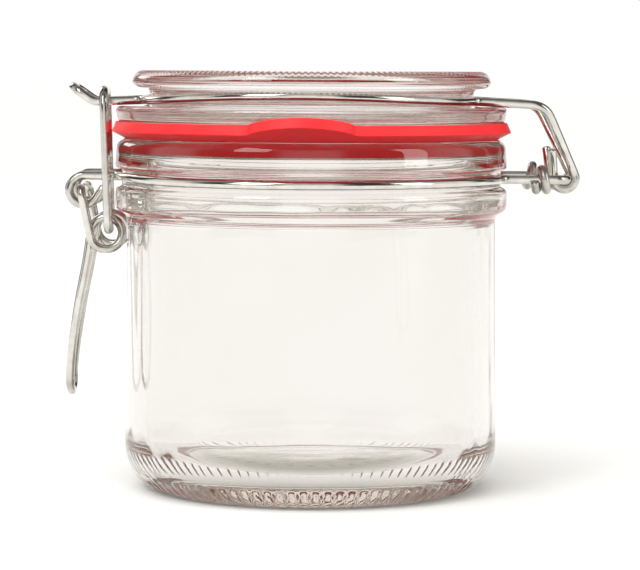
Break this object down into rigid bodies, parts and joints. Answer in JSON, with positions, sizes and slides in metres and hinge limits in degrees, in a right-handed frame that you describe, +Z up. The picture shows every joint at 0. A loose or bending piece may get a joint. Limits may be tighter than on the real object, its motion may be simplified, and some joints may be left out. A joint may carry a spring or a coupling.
{
  "type": "clip-top glass canister",
  "caption": "Squat round clear-glass storage jar with a hinged glass lid, red rubber gasket with a pull tab, and a bent-wire hinge and over-centre clip that clamps the lid shut",
  "frame": {"origin": "under the middle of the canister's bounding box, in the plane of the bearing ring that it stands on; the jar's own axis stands at x -2.6 mm, y +2.3 mm", "axes": "+Z up along the jar's axis; +X from the latch towards the hinge; -Y the front, where the gasket's pull tab is. The hinge and latch axes run along Y. Stored shut and latched"},
  "size_m": [0.1216, 0.0995, 0.0994],
  "materials": {
    "jar_glass": "clear pressed soda-lime glass, fire-polished, faintly wavy",
    "lid_glass": "clear pressed soda-lime glass with a knurled stacking ring",
    "gasket_rubber": "satin red moulded rubber",
    "bright_wire": "bright zinc-plated spring-steel wire, faint drawing lines",
    "tie_wire": "softer galvanised steel wire"
  },
  "bodies": {
    "jar": {"glass_jar": "jar_glass", "neck_wire": "bright_wire", "hinge_tie_wire": "tie_wire"},
    "lid": {"glass_lid": "lid_glass", "rubber_gasket": "gasket_rubber", "lid_wire": "bright_wire"},
    "lever": {"lever_wire": "bright_wire"},
    "link": {"link_wire": "bright_wire"}
  },
  "joints": [
    {"name": "lid_hinge", "type": "hinge", "parent": "jar", "child": "lid", "pos_m": [0.0573, 0.0023, 0.0743], "axis": [0, 1, 0], "range_deg": [0, 180]},
    {"name": "lever_pivot", "type": "hinge", "parent": "jar", "child": "lever", "pos_m": [-0.0567, 0.0023, 0.0716], "axis": [0, 1, 0], "range_deg": [0, 120]},
    {"name": "link_pivot", "type": "hinge", "parent": "lever", "child": "link", "pos_m": [-0.05075, 0.0023, 0.062], "axis": [0, 1, 0], "range_deg": [-150, 0], "deforming": ["link_wire"]}
  ],
  "couplings": [
    {"joint": "link_pivot", "follows": "lever_pivot", "ratio": -1.25}
  ]
}
